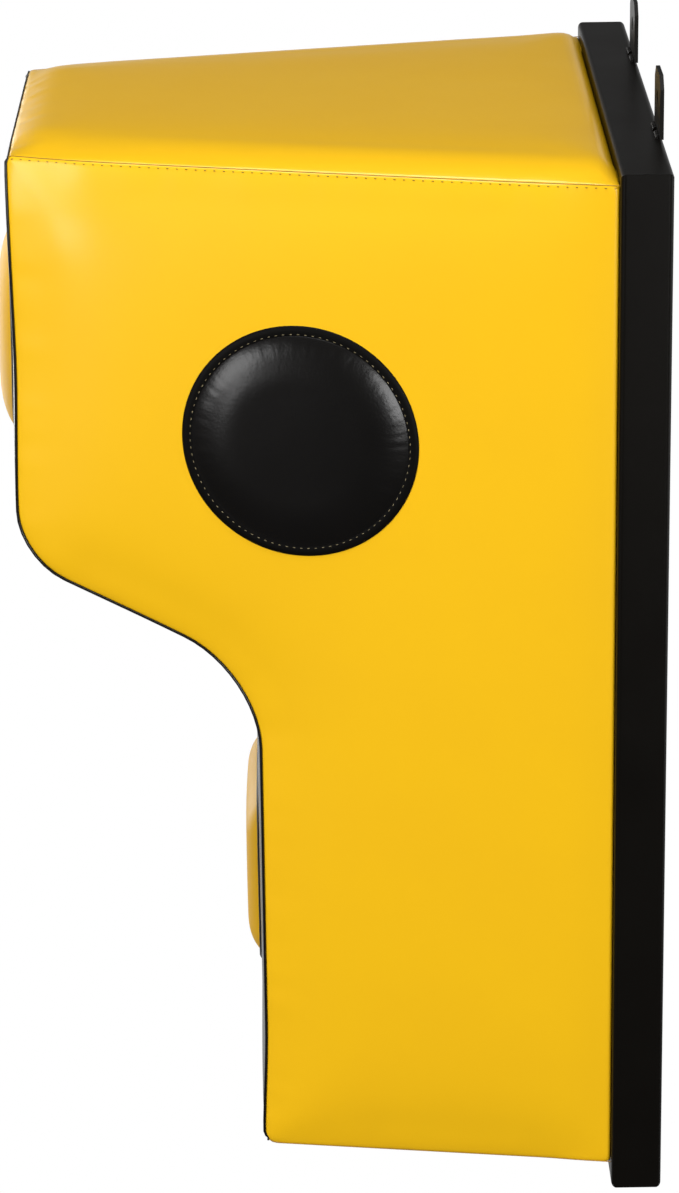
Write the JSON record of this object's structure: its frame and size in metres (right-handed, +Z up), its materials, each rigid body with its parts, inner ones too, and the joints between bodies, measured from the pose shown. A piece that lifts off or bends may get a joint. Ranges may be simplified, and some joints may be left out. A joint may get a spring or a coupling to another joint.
{
  "type": "wall-mounted uppercut target",
  "caption": "Padded boxing target for a wall: a head over a slimmer torso in yellow and black leather, with round and oblong strike pads, on a black square-tube frame with two bolt lugs.",
  "frame": {"origin": "midway between the two wall bolts, on the wall plane", "axes": "+Z up, -Y out of the wall towards the boxer, +X to the boxer's right when facing the target"},
  "size_m": [0.5, 0.496, 0.846],
  "materials": {
    "powder_coated_steel": "semi-gloss black powder coat",
    "plywood": "bare birch plywood",
    "zinc_plated_steel": "bright zinc plate",
    "foam": "cut open-cell foam",
    "lining_fabric": "black non-woven lining",
    "black_leather": "glossy fine-grain synthetic leather",
    "yellow_leather": "glossy fine-grain synthetic leather"
  },
  "bodies": {
    "root": {"frame_top_rail": "powder_coated_steel", "frame_bottom_rail": "powder_coated_steel", "frame_left_rail": "powder_coated_steel", "frame_right_rail": "powder_coated_steel", "upper_cross_bar": "powder_coated_steel", "lower_cross_bar": "powder_coated_steel", "wall_lug_left": "powder_coated_steel", "wall_lug_right": "powder_coated_steel", "back_board": "plywood", "board_bolts": "zinc_plated_steel", "board_washers": "zinc_plated_steel", "tee_nuts": "zinc_plated_steel", "head_foam_block": "foam", "torso_foam_block": "foam", "head_face_foam": "foam", "chin_foam": "foam", "torso_face_foam": "foam", "side_cover_left": "yellow_leather", "side_cover_right": "yellow_leather", "top_cover": "yellow_leather", "bottom_cover": "yellow_leather", "front_cover": "black_leather", "piping_left": "black_leather", "piping_right": "black_leather", "rear_lining": "lining_fabric", "hem_staples": "zinc_plated_steel", "side_target_base_left": "black_leather", "side_target_foam_left": "foam", "side_target_cover_left": "black_leather", "side_target_base_right": "black_leather", "side_target_foam_right": "foam", "side_target_cover_right": "black_leather", "head_target_base": "black_leather", "head_target_foam": "foam", "head_target_cover": "yellow_leather", "torso_target_base": "black_leather", "torso_target_foam": "foam", "torso_target_cover": "yellow_leather"}
  },
  "joints": []
}
